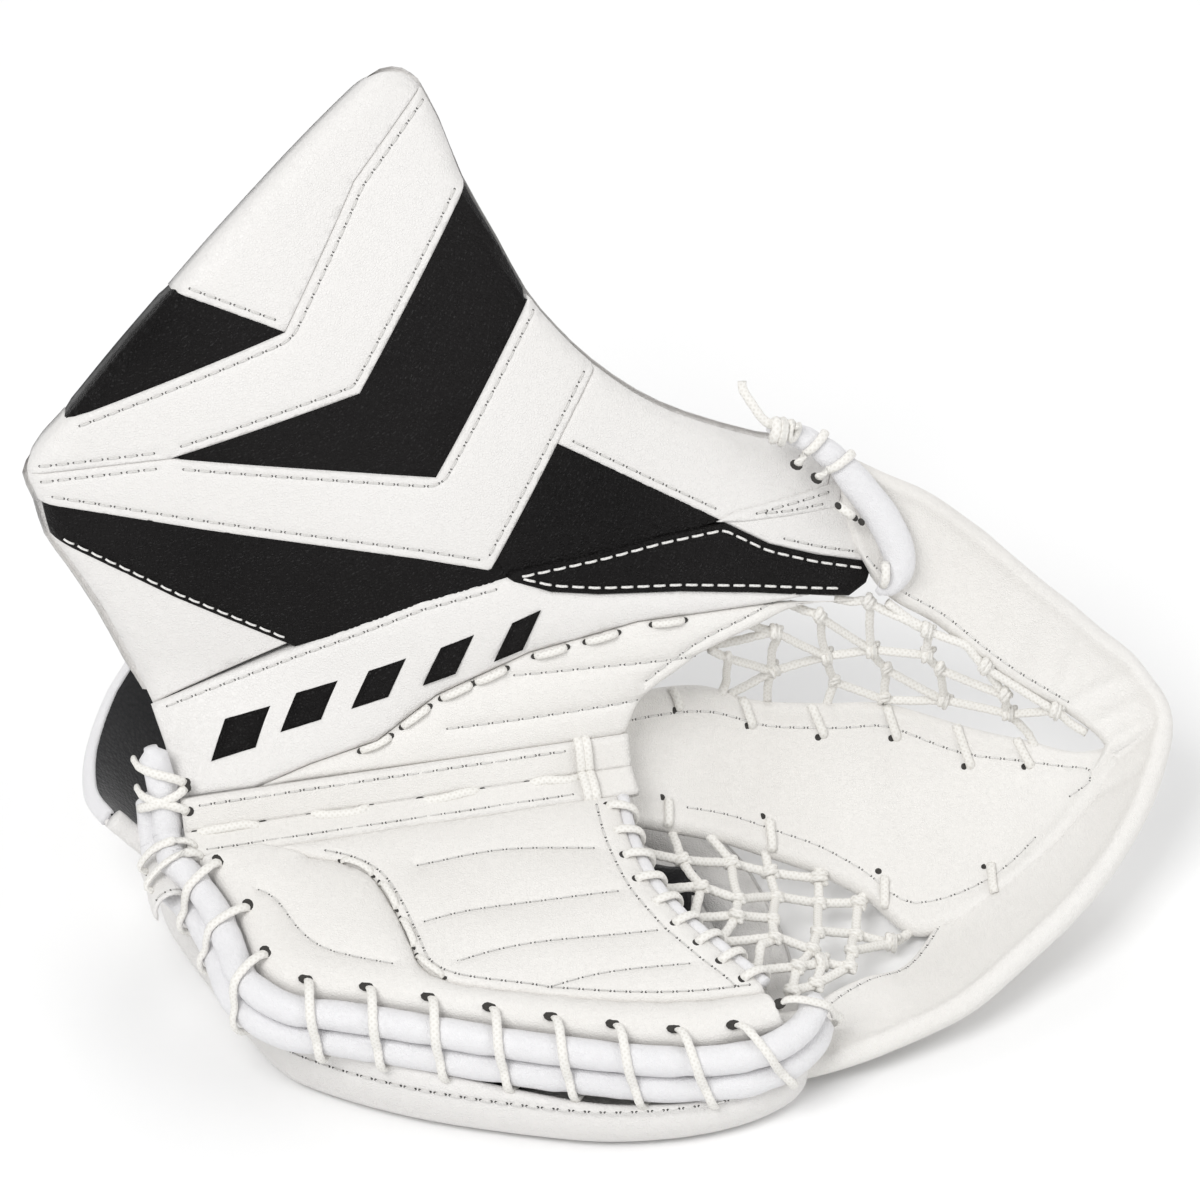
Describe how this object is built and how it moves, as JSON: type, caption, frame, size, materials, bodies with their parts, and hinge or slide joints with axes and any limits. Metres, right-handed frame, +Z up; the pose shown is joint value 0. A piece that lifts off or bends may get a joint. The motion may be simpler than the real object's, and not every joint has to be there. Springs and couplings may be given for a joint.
{
  "type": "goalie catch glove",
  "caption": "Ice hockey goalkeeper's catching glove, left hand: two padded halves that fold on a break line, a lace web pocket with a T, a flared cuff and a wrist strap.",
  "frame": {"origin": "on the resting face of the back shell, right under the point where the break line meets the crotch of the palm", "axes": "+X along the break line from the heel to the apex of the T, +Y from the finger half to the thumb half and cuff, +Z up as the glove lies on its back shell"},
  "size_m": [0.4228, 0.28, 0.3147],
  "materials": {
    "white_leather": "smooth white synthetic leather with a fine grain, soft sheen",
    "palm_leather": "supple cream-white palm leather, matt, sewn in channels",
    "black_leather": "grained black synthetic leather, satin",
    "binding": "cool white rolled binding, smooth and slightly glossy",
    "lace": "waxed off-white woven lace",
    "lining": "black brushed knit lining",
    "foam": "dense grey foam board",
    "hook_and_loop": "black hook and loop tape"
  },
  "bodies": {
    "finger_half": {"back_shell": "white_leather", "backhand_pad": "white_leather", "strap_pivot_roll": "white_leather", "heel_tab": "white_leather", "finger_palm_pad": "palm_leather", "finger_heel_roll": "palm_leather", "t_lower_arm": "palm_leather", "perimeter_binding_upper": "binding", "perimeter_binding_lower": "binding", "perimeter_lace": "lace", "pocket_edge_lace": "lace", "heel_lace": "lace", "finger_web": "lace", "palm_lining": "lining", "backhand_lining": "lining", "index_finger_stall": "lining", "middle_finger_stall": "lining", "ring_finger_stall": "lining", "little_finger_stall": "lining", "strap_loop_tape": "hook_and_loop"},
    "pocket": {"break_strip": "palm_leather", "break_lace": "lace", "t_shaft": "palm_leather", "t_apex": "palm_leather", "thumb_web": "lace"},
    "thumb_half": {"cuff_top_panel": "white_leather", "cuff_wedge_inlay": "black_leather", "cuff_outer_chevron": "white_leather", "cuff_black_chevron": "black_leather", "cuff_inner_chevron": "white_leather", "cuff_lower_panel": "black_leather", "cuff_heel_panel": "white_leather", "thumb_black_panel": "black_leather", "thumb_white_panel": "white_leather", "thumb_tip_panel": "white_leather", "thumb_welt": "black_leather", "cuff_foam_board": "foam", "cuff_back_cover": "white_leather", "cuff_palm_band": "white_leather", "thumb_palm_pad": "palm_leather", "thumb_end_binding": "binding", "heel_binding": "binding", "thumb_end_lace": "lace", "thumb_stall": "lining", "t_upper_arm": "palm_leather"},
    "strap": {"wrist_strap": "white_leather", "wrist_strap_lining": "lining", "strap_hook_tape": "hook_and_loop"}
  },
  "joints": [
    {"name": "mid_fold", "type": "hinge", "parent": "finger_half", "child": "pocket", "pos_m": [0, 0, 0.072], "axis": [1, 0, 0], "range_deg": [0, 40]},
    {"name": "thumb_fold", "type": "hinge", "parent": "pocket", "child": "thumb_half", "pos_m": [0, 0, 0.072], "axis": [1, 0, 0], "range_deg": [0, 40]},
    {"name": "strap_open", "type": "hinge", "parent": "finger_half", "child": "strap", "pos_m": [-0.17743, 0.0142, 0.06391], "axis": [-0.6652, 0.2797, 0.6923], "range_deg": [0, 55]}
  ],
  "couplings": [
    {"joint": "thumb_fold", "follows": "mid_fold", "ratio": 1}
  ]
}
